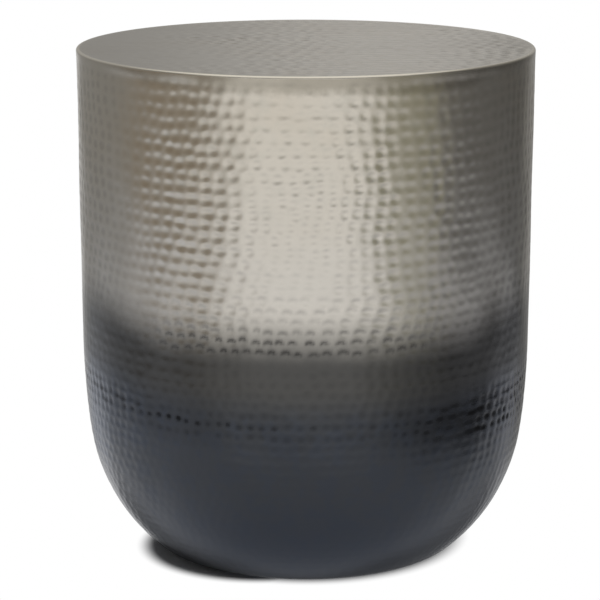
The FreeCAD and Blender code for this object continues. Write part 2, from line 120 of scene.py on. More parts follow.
hammer = {
    "seed": 21,
    "columnsRound": 612,  # mesh columns round the drum
    "rowStep": 1.95,  # mesh row spacing on wall and bowl
    "ringPitch": 11.7,  # one ring of dents to the next
    "tightPitch": 10.2,  # the same from the fade downwards
    "tighten": (285.0, 330.0),  # heights between which the rings close up
    "dentPitch": 13.3,  # one dent to the next round a ring of the wall
    "bowlPitch": 11.7,  # the same round a ring of the bowl
    "dentRadius": 6.2,
    "radiusSpread": 0.07,
    "dentDepth": 0.43,
    "depthSpread": 0.15,
    "depthShares": (0.5, 1.4),  # the shallowest and the deepest blow
    "lengthSpread": 0.09,
    "lengthShares": (0.8, 1.3),
    "longShare": 0.03,  # a few dents are longer again
    "longer": 1.1,
    "sideJitter": 0.9,
    "ringJitter": 0.8,
    "phaseStep": 0.14,  # how far one ring is turned against the next, in dents
    "drift": 0.85,  # slow wandering along a ring, in dents
    "sway": 1.1,  # slow wandering of a ring up and down
    "driftWaves": [(3, 150.0), (5, -210.0), (8, 330.0), (2, -95.0)],  # waves round, slanting length
    "driftSeed": 5,
}
rng = np.random.default_rng(hammer["seed"])

# aside is the angle round the drum from its front, in degrees: 90 on the right, -90 on the
# left, and on to -270 round the back
angles = np.linspace(0, 2 * math.pi, hammer["columnsRound"], endpoint=False)
aside = np.degrees(angles) - 270.0

wallLow, wallHigh = nodeBox("drum_wall")
bowlLow, bowlHigh = nodeBox("lower_bowl")
plateLow, plateHigh = nodeBox("top_plate")
rimRadius = plateHigh[0]
footRadius = bowlHigh[0]
wallLean = math.atan((rimRadius - footRadius) / (wallHigh[2] - wallLow[2]))


def slowWave(angle, rise, waves, generator):
    # a slow drift over the surface: a few sine waves of the angle and the height, averaged
    total = np.zeros(np.broadcast(angle, rise).shape)
    for turns, length in waves:
        phase = generator.uniform(0, 2 * math.pi)
        total = total + np.sin(turns * angle + 2 * math.pi * rise / length + phase)
    return total / len(waves)


def turnProfile(radius, height, normalR=0.0, normalZ=0.0, depth=0.0):
    # a profile carried round the axis, pushed inwards along its normal by the depth
    depth = np.broadcast_to(depth, (len(radius), len(angles)))
    height, normalR, normalZ = (np.broadcast_to(one, radius.shape)[:, None]
                                for one in (height, normalR, normalZ))
    r = radius[:, None] - depth * normalR
    z = height - depth * normalZ
    return np.stack([r * np.cos(angles), r * np.sin(angles), z], axis=-1)


# Painted dark reflections in one dent; distances are in dent radii from its middle.
paintedMark = {
    "markShare": 0.80,  # average share of the painted dark that a dent takes
    "markShareSpread": 0.25,
    "crescentAt": 0.60,
    "crescentWide": 0.42,
    "crescentUpward": (-0.22, 0.36),
    "crescentEnds": (0.50, 1.10),
    "crescentEven": 0.6,  # share of the crescents' painted dark that is the same in every dent
    "spotSquash": 1.2,  # spots are wider than they are high
    "spotCore": 0.22,
    "spotEdge": 0.84,
    "spotGrows": (0.7, 1.1),  # above this much painted dark the spot widens, up to this much
    "spotGrowth": 0.5,
    "dashAsides": ((26.0, 38.0), (47.0, 54.0)),  # here the spots are drawn out sideways
    "dashLonger": 0.5,
}


def drawDents(count, depth, generator):
    # the chance values of each dent in one ring
    sideways = generator.normal(0, hammer["sideJitter"], count)
    upward = generator.normal(0, hammer["ringJitter"], count)
    size = hammer["dentRadius"] * generator.normal(1, hammer["radiusSpread"], count)
    blow = np.clip(generator.normal(1, hammer["depthSpread"], count), *hammer["depthShares"])
    markShare = np.clip(generator.normal(paintedMark["markShare"], paintedMark["markShareSpread"], count), 0, 1)
    length = np.clip(generator.normal(1, hammer["lengthSpread"], count), *hammer["lengthShares"])
    length = length * np.where(generator.random(count) < hammer["longShare"], hammer["longer"], 1.0)
    return sideways, upward, size, depth * blow, markShare, length


def dentField(arcs, rings, generator):
    # depth and painted dark of the hammered surface at every grid point: each ring holds evenly
    # spaced dents, nudged sideways and up, and a dent is (1 - (distance / radius)^2.5)^2 deep; the
    # painted dark stands in for dark reflections and lies as a crescent along the upper edge of a
    # dent, or as a flat spot in its middle, which is drawn out into a dash on one stretch
    depth = np.zeros((len(arcs), len(angles)))
    paintedDark = np.zeros_like(depth)
    dash = 1 - paintedMark["dashLonger"] * between(aside, *paintedMark["dashAsides"])
    seed = hammer["driftSeed"]
    phase = 0.0
    for ring in rings:
        count = ring["count"]
        drift = slowWave(angles, ring["arc"], hammer["driftWaves"], np.random.default_rng(seed))
        sway = slowWave(angles, ring["arc"], hammer["driftWaves"][:2], np.random.default_rng(seed + 1))
        phase += hammer["phaseStep"] * generator.standard_normal()
        turn = angles / (2 * math.pi) * count + phase + hammer["drift"] * drift
        dents = drawDents(count, ring["depth"], generator)
        rows = np.abs(arcs - ring["arc"]) < 1.9 * hammer["dentRadius"]
        spotEdge = np.clip(ring["spotDark"], *paintedMark["spotGrows"]) - paintedMark["spotGrows"][0]
        spotEdge = paintedMark["spotEdge"] + paintedMark["spotGrowth"] * spotEdge
        for step in (-1, 0, 1):
            nearest = np.rint(turn) + step
            number = nearest.astype(int) % count
            sideways, upward, size, strength, markShare, length = (values[number] for values in dents)
            along = ((turn - nearest) * ring["spacing"] - sideways) / length
            across = arcs[rows][:, None] - (ring["arc"] + hammer["sway"] * sway + upward)
            reach = (along ** 2 + across ** 2) / size ** 2
            depth[rows] += strength * np.clip(1 - reach ** 1.25, 0, None) ** 2
            crescent = bell(np.sqrt(reach), paintedMark["crescentAt"], paintedMark["crescentWide"])
            crescent = crescent * smooth(-across / size, *paintedMark["crescentUpward"])
            crescent = crescent * (1 - smooth(np.abs(along) / size, *paintedMark["crescentEnds"]))
            even = paintedMark["crescentEven"]
            marked = ring["rimDark"] * crescent * (even + (1 - even) * markShare)
            flat = np.sqrt((dash * along) ** 2 + (paintedMark["spotSquash"] * across) ** 2)
            spot = 1 - smooth(flat / size, paintedMark["spotCore"], spotEdge)
            marked = np.maximum(marked, ring["spotDark"] * spot * markShare)
            paintedDark[rows] = np.clip(np.maximum(paintedDark[rows], marked), 0, 1)
    return depth, paintedDark


# Where the painted dark reflections lie: heights in millimetres, asides in degrees; a pair is the
# middle and the spread of a bell, or the begin and end of a rise, and two pairs are a rise and a fall.
paintedPlaces = {
    "arcs": 0.60,  # crescents on the rings where the fade begins
    "arcHeights": ((240.0, 253.0), (268.0, 275.0)),
    "paleArcs": 0.15,  # and on the rings above
    "paleArcHeights": ((266.0, 274.0), (292.0, 314.0)),
    "arcMiddle": -4.0,
    "arcFade": (27.0, 42.0),  # how far to both sides they fade
    "arcFlank": 0.12,  # share that is left at the flanks
    "belt": 1.20,  # spots of the bowl's belt, strong on one side
    "beltAside": (52.0, 29.0),
    "beltHeight": (184.0, 21.0),
    "beltFall": 0.25,  # millimetres that the belt falls for each degree
    "thin": 0.40,  # the rest of the belt is a thin ring
    "thinMore": 0.46,
    "thinMoreAside": (-31.0, 19.0),
    "thinHeight": (178.0, 6.0),
    "upper": 0.35,  # a paler ring above it
    "upperHeight": (189.0, 5.0),
    "lower": 0.35,  # and one below it, darker from the front onwards
    "lowerMore": 0.5,
    "lowerMoreAside": (-26.0, -8.0),
    "lowerHeight": (166.0, 5.0),
    "front": 0.13,  # faint spots between fade and belt in front
    "frontFade": (30.0, 45.0),
    "frontHeights": ((186.0, 205.0), (236.0, 246.0)),
    "low": 0.6,  # a short row under the belt
    "lowAside": (31.0, 13.0),
    "lowHeight": (155.0, 5.5),
    "edge": 0.42,  # a patch near the left edge
    "edgeAside": (-57.0, 9.0),
    "edgeHeight": (188.0, 19.0),
    "darkest": 1.05,
    "darkWash": 0.45,  # a soft painted dark reflection over the skin itself, under the strong belt
    "darkWashAside": (44.0, 13.5),
    "darkWashHeight": (175.0, 11.0),
    "hollowShade": 0.16,  # painted shade in the hollows of the wall's flanks and back
    "hollowShadeAside": (44.0, 64.0),
    "hollowShadeHeight": (262.0, 290.0),
    "hollowShadeDepth": (0.15, 0.75),  # from this share of a dent's depth to this one
}


def rimDarkAt(height):
    # painted dark reflections along the upper edges of one ring of dents, round the drum: a strong
    # and a pale band of height, each times a share that falls off at both sides
    strong = between(height, *paintedPlaces["arcHeights"])
    pale = between(height, *paintedPlaces["paleArcHeights"])
    facing = 1 - smooth(np.abs(aside - paintedPlaces["arcMiddle"]), *paintedPlaces["arcFade"])
    flank = paintedPlaces["arcFlank"]
    return (paintedPlaces["arcs"] * strong + paintedPlaces["paleArcs"] * pale) * (flank + (1 - flank) * facing)


def spotDarkAt(height):
    # painted dark reflections in the middle of the dents of one bowl ring, round the drum: the
    # highest of a few bells of angle and height
    sloped = height + paintedPlaces["beltFall"] * aside
    belt = paintedPlaces["belt"] * bell(aside, *paintedPlaces["beltAside"]) * bell(sloped, *paintedPlaces["beltHeight"], 4)
    thinSide = paintedPlaces["thin"] + paintedPlaces["thinMore"] * bell(aside, *paintedPlaces["thinMoreAside"])
    lowerSide = paintedPlaces["lower"] + paintedPlaces["lowerMore"] * smooth(aside, *paintedPlaces["lowerMoreAside"])
    thin = bell(height, *paintedPlaces["thinHeight"])
    thin = thin + paintedPlaces["upper"] * bell(height, *paintedPlaces["upperHeight"])
    thin = thin + lowerSide * bell(height, *paintedPlaces["lowerHeight"])
    front = paintedPlaces["front"] * (1 - smooth(np.abs(aside), *paintedPlaces["frontFade"]))
    front = front * between(height, *paintedPlaces["frontHeights"])
    low = paintedPlaces["low"] * bell(aside, *paintedPlaces["lowAside"]) * bell(height, *paintedPlaces["lowHeight"])
    edge = paintedPlaces["edge"] * bell(aside, *paintedPlaces["edgeAside"]) * bell(height, *paintedPlaces["edgeHeight"], 4)
    return np.minimum(np.max([belt, thinSide * thin, front, low, edge], axis=0), paintedPlaces["darkest"])


def darkWashAt(heights):
    # a painted dark reflection: a bell of the angle times a bell of the height
    upward = bell(heights, *paintedPlaces["darkWashHeight"])[:, None]
    return paintedPlaces["darkWash"] * bell(aside, *paintedPlaces["darkWashAside"]) * upward


def hollowShadeIn(depth, heights):
    # painted shade that grows with the depth of a dent, on the flanks and the back of the wall
    where = smooth(np.abs(aside), *paintedPlaces["hollowShadeAside"])[None, :]
    where = where * smooth(heights, *paintedPlaces["hollowShadeHeight"])[:, None]
    return paintedPlaces["hollowShade"] * where * smooth(depth / hammer["dentDepth"], *paintedPlaces["hollowShadeDepth"])


# How much of the dents' depth is kept: they are worn flat in places.
relief = {
    "wall": [(-96, 1.0), (-86, 1.0), (-76, 0.6), (-64, 0.17), (-50, 0.16), (-44, 0.28), (-39, 0.60),
             (-33, 0.84), (-14, 0.88), (-8, 0.84), (6, 0.84), (10, 1.0), (19, 0.95), (22, 0.46),
             (28, 0.36), (33, 0.50), (42, 0.38), (50, 0.18), (64, 0.18), (76, 0.55), (86, 1.0), (90, 1.0)],
    "middle": 0.30,  # deeper half way up the wall
    "middleHeights": ((335.0, 365.0), (430.0, 475.0)),
    "dulled": 0.50,  # and shallower low down on its left
    "dulledBelow": (296.0, 322.0),
    "dulledAside": (-38.0, -22.0),
    "wallFoot": (246.0, 272.0),
    "bandFront": 0.40,  # between wall and bowl, in front and at the sides
    "bandSide": 0.22,
    "bowlTop": (188.0, 212.0),
    "bowlFront": 0.40,
    "bowlSide": 1.25,
    "sideAside": (36.0, 54.0),
    "belt": 0.75,  # more again on the right side of the bowl's belt
    "beltAsides": ((40.0, 52.0), (74.0, 84.0)),
    "beltHeight": (176.0, 20.0),
}


def reliefAt(heights):
    # the wall's share is read off from its list of (aside, share) pairs, the bowl's goes from
    # front to side, and a flatter band lies between; they blend into each other by height
    side = smooth(np.abs(aside), *relief["sideAside"])
    band = relief["bandFront"] + (relief["bandSide"] - relief["bandFront"]) * side
    low = relief["bowlFront"] + (relief["bowlSide"] - relief["bowlFront"]) * side
    belt = relief["belt"] * between(aside, *relief["beltAsides"])
    low = low + belt * bell(heights, *relief["beltHeight"])[:, None]
    middle = 1 + relief["middle"] * between(heights, *relief["middleHeights"])
    dulled = 1 - smooth(heights, *relief["dulledBelow"])[:, None]
    dulled = dulled * (1 - smooth(aside, *relief["dulledAside"]))
    wall = np.interp(aside, *zip(*relief["wall"]))
    wall = wall * middle[:, None] * (1 - relief["dulled"] * dulled)
    upward = smooth(heights, *relief["wallFoot"])[:, None]
    downward = 1 - smooth(heights, *relief["bowlTop"])[:, None]
    return wall * upward + low * downward + band * (1 - upward) * (1 - downward)


shell = {
    "sheet": 1.5,
    "plainBand": 9.9,  # the first ring of dents lies this far under the rim
    "plainEdge": 9.0,  # and the skin is quite smooth at the rim itself
    "rimShare": 0.5,  # dents begin at this share of their depth under the rim
    "rimGrow": 30.0,
    "bowlEase": 0.25,  # they get shallower below the joint
    "bowlEaseFrom": (15.0, 60.0),
    "footEase": 0.35,  # and again towards the foot
    "footEaseFrom": (80.0, 200.0),
    "unevenness": 0.60,  # deepest of the slow waves of beaten sheet
    "waves": [(18, 170.0), (23, -260.0), (13, 330.0), (27, -190.0), (9, -400.0), (16, 120.0)],
    "waveGain": 0.8,
    "waveSeed": 8,
    "waveHeight": (20.0, 120.0),
    "outward": 0.34,  # dents and waves lie evenly about the plain skin, not all inside it
    "outwardArc": (0.0, 130.0),
    "outwardHeight": (6.0, 60.0),
    "fullness": 1.0,  # how far the bowl's flank swells at its middle
    "fullHeight": (128.0, 38.0),
    "innerRows": 8,  # rows of the wall's plain inner face
}

bowl = {
    "heelRadius": 28.0,
    "heelTurn": math.radians(41.0),
    "flankRadius": 180.0,
    "flankTurn": math.radians(80.6),
    "shoulderRadius": 643.0,
    "ventRadius": 8.0,
    "lastRing": 12.0,  # lowest ring of dents, up from the flat base along the skin
    "flatRows": 7,  # mesh rows of the flat base, and of the plain inner side
    "innerRows": 22,
    "innerFlatRows": 3,
}

# Heel, flank and shoulder arcs from the flat base's edge upwards, each tangent to the last.
arcTurns = np.array([0.0, bowl["heelTurn"], bowl["flankTurn"], math.pi / 2 - wallLean])
arcRadii = np.array([bowl["heelRadius"], bowl["flankRadius"], bowl["shoulderRadius"]])
arcLengths = arcRadii * np.diff(arcTurns)
arcRuns = arcRadii * np.diff(np.sin(arcTurns))
arcRises = -arcRadii * np.diff(np.cos(arcTurns))
baseRadius = footRadius - arcRuns.sum()
bowlLength = arcLengths.sum()


def bowlPath(distance):
    # radius, height and outward normal at a distance along the outer skin, from the flat base's
    # edge upwards: on each arc the turn grows by distance / radius
    begins = np.cumsum(arcLengths) - arcLengths
    number = np.clip(np.searchsorted(begins, distance, side="right") - 1, 0, len(begins) - 1)
    radius = arcRadii[number]
    first = arcTurns[number]
    turn = first + (distance - begins[number]) / radius
    startR = baseRadius + (np.cumsum(arcRuns) - arcRuns)[number]
    startZ = bowlLow[2] + (np.cumsum(arcRises) - arcRises)[number]
    r = startR + radius * (np.sin(turn) - np.sin(first))
    z = startZ + radius * (np.cos(first) - np.cos(turn))
    return r, z, np.sin(turn), -np.cos(turn)


def ringLadder(start, stop, heightAt):
    # ring after ring down the skin: each step is a blend of the two pitches by the height it
    # starts from
    rings = []
    place = start
    while place < stop:
        rings.append(place)
        closing = float(smooth(heightAt(place), *hammer["tighten"]))
        place += hammer["tightPitch"] + (hammer["ringPitch"] - hammer["tightPitch"]) * closing
    return np.array(rings)


def shellRings(arcs, heights, radii, wallLength):
    # every ring of dents of wall and bowl, with its count, spacing, depth and dye
    places = ringLadder(shell["plainBand"], arcs[-1] - bowl["lastRing"],
                        lambda arc: np.interp(arc, arcs, heights))
    ringHeights = np.interp(places, arcs, heights)
    lengths = 2 * math.pi * np.interp(places, arcs, radii)
    pitches = np.where(ringHeights > bowlHigh[2], hammer["dentPitch"], hammer["bowlPitch"])
    counts = np.rint(lengths / pitches).astype(int)
    into = places - wallLength
    share = shell["rimShare"] + (1 - shell["rimShare"]) * smooth(places, 0, shell["rimGrow"])
    share = share * (1 - shell["bowlEase"] * smooth(into, *shell["bowlEaseFrom"]))
    share = share * (1 - shell["footEase"] * smooth(into, *shell["footEaseFrom"]))
    depths = hammer["dentDepth"] * share
    return [{"arc": arc, "count": count, "spacing": length / count, "depth": depth,
             "rimDark": rimDarkAt(height), "spotDark": spotDarkAt(height)}
            for arc, count, length, depth, height in zip(places, counts, lengths, depths, ringHeights)]


def handWaves(heights):
    # slow unevenness of beaten sheet, 0 to 1: sine waves of angle and height, averaged
    generator = np.random.default_rng(shell["waveSeed"])
    total = slowWave(angles[None, :], heights[:, None], shell["waves"], generator)
    return np.clip(0.5 + shell["waveGain"] * total, 0, 1)


def makeShellField():
    # one field of dents for wall and bowl, so that it runs on over their joint: dents times
    # relief, plus slow waves, less what the skin lies outwards; the arc is measured down the
    # skin from the rim, and the last row of the wall is the bowl's first
    wallLength = (wallHigh[2] - wallLow[2]) / math.cos(wallLean)
    wallRows = int(round(wallLength / hammer["rowStep"])) + 1
    bowlRows = int(round(bowlLength / hammer["rowStep"])) + 1
    wallArc = np.linspace(0, wallLength, wallRows)
    bowlArc = np.linspace(0, bowlLength, bowlRows)[1:]
    bowlR, bowlZ = bowlPath(bowlLength - bowlArc)[:2]
    arcs = np.concatenate([wallArc, wallLength + bowlArc])
    heights = np.concatenate([wallHigh[2] - wallArc * math.cos(wallLean), bowlZ])
    radii = np.concatenate([rimRadius - wallArc * math.sin(wallLean), bowlR])
    rings = shellRings(arcs, heights, radii, wallLength)
    depth, paintedDark = dentField(arcs, rings, rng)
    # the strongest of the painted dark reflections and the painted shade in the hollows
    paintedDark = np.max([paintedDark, darkWashAt(heights), hollowShadeIn(depth, heights)], axis=0)
    waves = shell["unevenness"] * handWaves(heights) * smooth(heights, *shell["waveHeight"])[:, None]
    swell = shell["outward"] * smooth(arcs, *shell["outwardArc"]) * smooth(heights, *shell["outwardHeight"])
    swell = swell + shell["fullness"] * bell(heights, *shell["fullHeight"])
    depth = depth * reliefAt(heights) + waves
    depth = depth * smooth(arcs, 0.0, shell["plainEdge"])[:, None] - swell[:, None]
    print("shell field worked out,", len(rings), "rings of dents")
    return depth, paintedDark, wallRows


def makeWallSkin(depth, paintedDark):
    # a leaning straight line carried round: outer face with dents from the foot up, then the
    # plain inner face back down
    bottom, top = wallLow[2], wallHigh[2]
    height = np.linspace(bottom, top, len(depth))
    radius = footRadius + (height - bottom) * math.tan(wallLean)
    outer = turnProfile(radius, height, math.cos(wallLean), -math.sin(wallLean), depth[::-1])
    innerHeight = np.linspace(top, bottom, shell["innerRows"])
    innerRadius = footRadius - shell["sheet"] + (innerHeight - bottom) * math.tan(wallLean)
    inner = turnProfile(innerRadius, innerHeight)
    piece = gridMesh("drumWallSkin", np.concatenate([outer, inner]), closedRows=True)
    setAttribute(piece, "paintedDark", np.pad(paintedDark[::-1], ((0, len(inner)), (0, 0))))
    return piece


def makeBowlSkin(depth, paintedDark):
    # from the vent hole out over the flat base, up the outer arcs, over the lip, and back
    # inside, one sheet's thickness in along the normal
    r, z, normalR, normalZ = bowlPath(np.linspace(0, bowlLength, len(depth)))
    outer = turnProfile(r, z, normalR, normalZ, depth[::-1])
    flatRadius = np.linspace(bowl["ventRadius"], baseRadius, bowl["flatRows"] + 1)[:-1]
    flat = turnProfile(flatRadius, bowlLow[2])
    r, z, normalR, normalZ = bowlPath(np.linspace(bowlLength, 0, bowl["innerRows"]))
    inner = turnProfile(r, z, normalR, normalZ, shell["sheet"])
    innerFlatRadius = np.linspace(flatRadius[-1], bowl["ventRadius"], bowl["innerFlatRows"])
    innerFlat = turnProfile(innerFlatRadius, bowlLow[2] + shell["sheet"])
    piece = gridMesh("lowerBowlSkin", np.concatenate([flat, outer, inner, innerFlat]), closedRows=True)
    setAttribute(piece, "paintedDark", np.pad(paintedDark[::-1], ((len(flat), len(inner) + len(innerFlat)), (0, 0))))
    return piece


plate = {
    "round": 2.2,  # rounding of the rim
    "roundSteps": 7,
    "rowStep": 2.15,  # mesh row spacing on the face
    "innermost": 1.2,  # radius of the last row round the middle
    "edgeBand": 9.0,  # smooth band inside the rim
    "highlight": (0.15, 0.9),  # the rim's painted highlight grows over this much of its rounding, in radians
    "dentPitch": 15.5,
    "dentRadius": 7.0,
    "dentLong": 1.35,
    "dentDepth": 0.44,
    "depthSpread": 0.3,
    "depthShares": (0.3, 1.6),
    "chances": 64,  # the chance values repeat after this many rows and dents
    "ripple": 0.13,  # low ridges along the rows
    "ripplePatches": (-0.9, 1.2),
    "jitter": 0.8,
    "buckle": 0.35,  # slow waves of the whole sheet
    "worn": 0.16,  # share of the relief that is left on the worn side
    "wornFrom": (-160.0, -30.0),
}


def rowDents(x, y, generator):
    # dents in rows along x that wander a little, each row shifted by chance; each dent is
    # (1 - distance^2 / radius^2)^2 deep, longer along x, with its own nudge and strength, low
    # cosine ridges run along the rows in patches, and the hammering is worn flat on one side
    chances = plate["chances"]
    grid = (chances, chances)
    along = y / plate["dentPitch"] + 0.22 * np.sin(x / 58.0 + 1.1) + 0.15 * np.sin(x / 25.0 - y / 70.0)
    row = np.rint(along).astype(int)
    shift = generator.random(chances)[row % chances]
    across = x / plate["dentPitch"] + shift + 0.16 * np.sin(y / 21.0 + x / 60.0)
    column = np.rint(across).astype(int)
    dent = (column % chances, row % chances)
    nudgeX = generator.normal(0, plate["jitter"], grid)[dent]
    nudgeY = generator.normal(0, plate["jitter"], grid)[dent]
    strength = np.clip(generator.normal(1, plate["depthSpread"], grid), *plate["depthShares"])[dent]
    sideways = ((across - column) * plate["dentPitch"] - nudgeX) / plate["dentLong"]
    upward = (along - row) * plate["dentPitch"] - nudgeY
    reach = (sideways ** 2 + upward ** 2) / plate["dentRadius"] ** 2
    dents = plate["dentDepth"] * strength * np.clip(1 - reach, 0, None) ** 2
    patches = smooth(np.sin(x / 39.0 + 1.3) + np.sin(y / 31.0 - x / 83.0), *plate["ripplePatches"])
    ridges = plate["ripple"] * patches * (1 + np.cos(2 * math.pi * along)) / 2
    wavyEdge = x + 26.0 * np.sin(y / 44.0 + 0.7) + 16.0 * np.sin(y / 19.0 + x / 60.0)
    kept = plate["worn"] + (1 - plate["worn"]) * smooth(wavyEdge, *plate["wornFrom"])
    return kept * (dents + ridges)


def makeTopSkin():
    # a profile carried round: underside, upright edge, quarter-round rim, then the hammered
    # face in to its middle, which a fan closes
    top, bottom = plateHigh[2], plateLow[2]
    turn = np.linspace(0, math.pi / 2, plate["roundSteps"])
    edgeRadius = rimRadius - plate["round"] * (1 - np.cos(turn))
    edgeHeight = top - plate["round"] * (1 - np.sin(turn))
    faceOut = rimRadius - plate["round"]
    rows = int(round(faceOut / plate["rowStep"]))
    faceRadius = np.linspace(faceOut, plate["innermost"], rows + 1)[1:]
    x = faceRadius[:, None] * np.cos(angles)
    y = faceRadius[:, None] * np.sin(angles)
    buckle = plate["buckle"] * (1 + np.sin(x / 62.0 + 0.5) * np.sin(y / 71.0 + 2.0)) / 2
    inside = smooth(rimRadius - faceRadius, plate["round"], plate["edgeBand"])[:, None]
    depth = (rowDents(x, y, rng) + buckle) * inside
    face = turnProfile(faceRadius, top, 0.0, 1.0, depth)
    under = turnProfile(np.array([rimRadius]), bottom)
    edge = turnProfile(edgeRadius, edgeHeight)
    poles = [(0, (0, 0, bottom)), (-1, (0, 0, top - depth[-1].mean()))]
    piece = gridMesh("topSkin", np.concatenate([under, edge, face]), poles=poles)
    # painted highlight along the rim's rounding, growing towards its top
    highlight = np.concatenate([[0.0], smooth(turn, *plate["highlight"]), np.zeros(len(faceRadius))])
    setAttribute(piece, "rimHighlight", np.append(np.repeat(highlight, len(angles)), [0.0, 0.0]))
    return piece


shellDepth, shellDark, wallRows = makeShellField()
wallSkin = makeWallSkin(shellDepth[:wallRows], shellDark[:wallRows])
bowlSkin = makeBowlSkin(shellDepth[wallRows - 1:], shellDark[wallRows - 1:])
topSkin = makeTopSkin()
for piece, node, slot in (
        (wallSkin, "drum_wall", "ombre_sheet"),
        (bowlSkin, "lower_bowl", "gunmetal_sheet"),
        (topSkin, "top_plate", "nickel_sheet")):
    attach(piece, "root")
    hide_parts(node)
    print("skin", piece.name, len(piece.data.polygons), "faces")


class Shader:
    # the node tree of a material or world, with short ways to add and join nodes

    def __init__(self, owner, outputKind="ShaderNodeOutputMaterial"):
        owner.use_nodes = True
        self.owner = owner
        self.tree = owner.node_tree
        self.tree.nodes.clear()
        self.output = self.add(outputKind)

    def add(self, kind, **settings):
        node = self.tree.nodes.new(kind)
        for key, value in settings.items():
            setattr(node, key, value)
        return node

    def join(self, source, target):
        self.tree.links.new(source, target)

    def feed(self, socket, value):
        # a number or colour is written on the socket, an output is linked to it
        if isinstance(value, bpy.types.NodeSocket):
            self.join(value, socket)
        elif isinstance(value, tuple) and len(value) == 3 and socket.type == "RGBA":
            socket.default_value = (*value, 1.0)
        else:
            socket.default_value = value

    def place(self):
        return self.add("ShaderNodeTexCoord").outputs["Object"]

    def attribute(self, name):
        return self.add("ShaderNodeAttribute", attribute_name=name).outputs["Fac"]

    def split(self, vector):
        node = self.add("ShaderNodeSeparateXYZ")
        self.join(vector, node.inputs[0])
        return node.outputs

    def math(self, operation, first, second=0.0, third=0.0):
        node = self.add("ShaderNodeMath", operation=operation)
        self.feed(node.inputs[0], first)
        self.feed(node.inputs[1], second)
        self.feed(node.inputs[2], third)
        return node.outputs[0]

    def rise(self, value, low, high, start=0.0, end=1.0):
        # start below low and end above high, or the other way round where high is the lower
        node = self.add("ShaderNodeMapRange", interpolation_type="SMOOTHSTEP")
        self.feed(node.inputs["Value"], value)
        self.feed(node.inputs["From Min"], low)
        node.inputs["From Max"].default_value = high
        node.inputs["To Min"].default_value = start
        node.inputs["To Max"].default_value = end
        return node.outputs["Result"]

    def noise(self, vector, scale, detail=3.0, roughness=0.55, stretch=None):
        if stretch:
            mapping = self.add("ShaderNodeMapping")
            mapping.inputs["Scale"].default_value = stretch
            self.join(vector, mapping.inputs["Vector"])
            vector = mapping.outputs[0]
        node = self.add("ShaderNodeTexNoise")
        self.join(vector, node.inputs["Vector"])
        node.inputs["Scale"].default_value = scale
        node.inputs["Detail"].default_value = detail
        node.inputs["Roughness"].default_value = roughness
        return node.outputs["Fac"]

    def mix(self, factor, first, second):
        node = self.add("ShaderNodeMix", data_type="RGBA")
        self.feed(node.inputs["Factor"], factor)
        self.feed(node.inputs[6], first)
        self.feed(node.inputs[7], second)
        return node.outputs[2]

    def blend(self, factor, first, second):
        # two shaders instead of two colours
        node = self.add("ShaderNodeMixShader")
        self.join(factor, node.inputs[0])
        self.join(first, node.inputs[1])
        self.join(second, node.inputs[2])
        return node.outputs[0]

    def bump(self, height, distance, strength=1.0):
        node = self.add("ShaderNodeBump")
        self.join(height, node.inputs["Height"])
        node.inputs["Distance"].default_value = distance
        node.inputs["Strength"].default_value = strength
        return node.outputs["Normal"]

    def surface(self, **sockets):
        shader = self.add("ShaderNodeBsdfPrincipled")
        for name, value in sockets.items():
            self.feed(shader.inputs[name.replace("_", " ")], value)
        self.join(shader.outputs[0], self.output.inputs["Surface"])


# Colours of the hammered metal; a pair is where a change begins and ends, on the noise's scale
# or as a height in metres, and two more numbers are its share before and after.
finish = {
    "nickel": (0.483, 0.454, 0.400),
    "nickelWarm": (0.475, 0.440, 0.380),
    "warmPatches": (0.42, 0.66),
    "nickelOlive": (0.455, 0.437, 0.384),
    "oliveSpecks": (0.48, 0.75, 0.0, 0.55),
    "nickelLow": (0.483, 0.461, 0.422),
    "nickelLowTo": (0.30, 0.46),
    "topSmear": (0.430, 0.398, 0.348),
    "topSmears": (0.45, 0.68, 0.0, 0.7),
    # painted highlight on the rim's rounding
    "rimHighlight": (0.84, 0.79, 0.69),
    # painted shade: a darker band in streaks just under the rim
    "underRimShade": (0.312, 0.288, 0.242),
    "underRimShadeFrom": (0.494, 0.505),
    "rimStreaks": (0.30, 0.62, 0.55, 1.0),
    "fade": (0.237, 0.298),  # from smoke to nickel
    "fadeClimb": (0.130, 0.205, 0.0, 0.015),  # out at both sides it stands this much higher
    "fadeDip": (0.030, 0.110, 0.0, 0.004),  # and on the right this much lower again
    "fadeWaver": 0.012,
    "fadeSpeck": 0.010,
    "smoke": (0.066, 0.065, 0.063),
    "smokeFrom": (0.180, 0.220),
    # painted darker reflection: a darker band round the bowl's upper part
    "gunmetalDeep": (0.047, 0.050, 0.056),
    "gunmetalDeepFrom": (0.150, 0.172),
    "gunmetal": (0.053, 0.057, 0.065),
    "gunmetalFoot": (0.051, 0.057, 0.071),
    "gunmetalFootTo": (0.02, 0.13),
    "gunmetalBlue": (0.047, 0.055, 0.072),
    "blueSpecks": (0.44, 0.62, 0.0, 0.40),
    # colour of the painted dark reflections in the dents
    "paintedDark": (0.012, 0.012, 0.013),
    "darkMatt": (0.16, 1.0, 1.0, 0.12),  # the metal ends under this much painted dark
    "roughness": 0.185,  # the lowest; two noises add to it
    "roughFine": 0.08,
    "roughGrain": 0.04,
    "reliefFine": 1.5,  # the fine noise in the relief, with 1 of the grain
    "relief": (0.00006, 0.3),  # depth in metres, and share
    "patches": (9.0, 3.0, 0.5),  # noises: scale, detail, roughness and stretch
    "fine": (70.0, 3.0, 0.6),
    "grain": (420.0, 2.0, 0.6),
    "smears": (5.0, 4.0, 0.6, (1.0, 2.4, 1.0)),
    "streaks": (14.0, 3.0, 0.6, (1.0, 1.0, 0.12)),
}


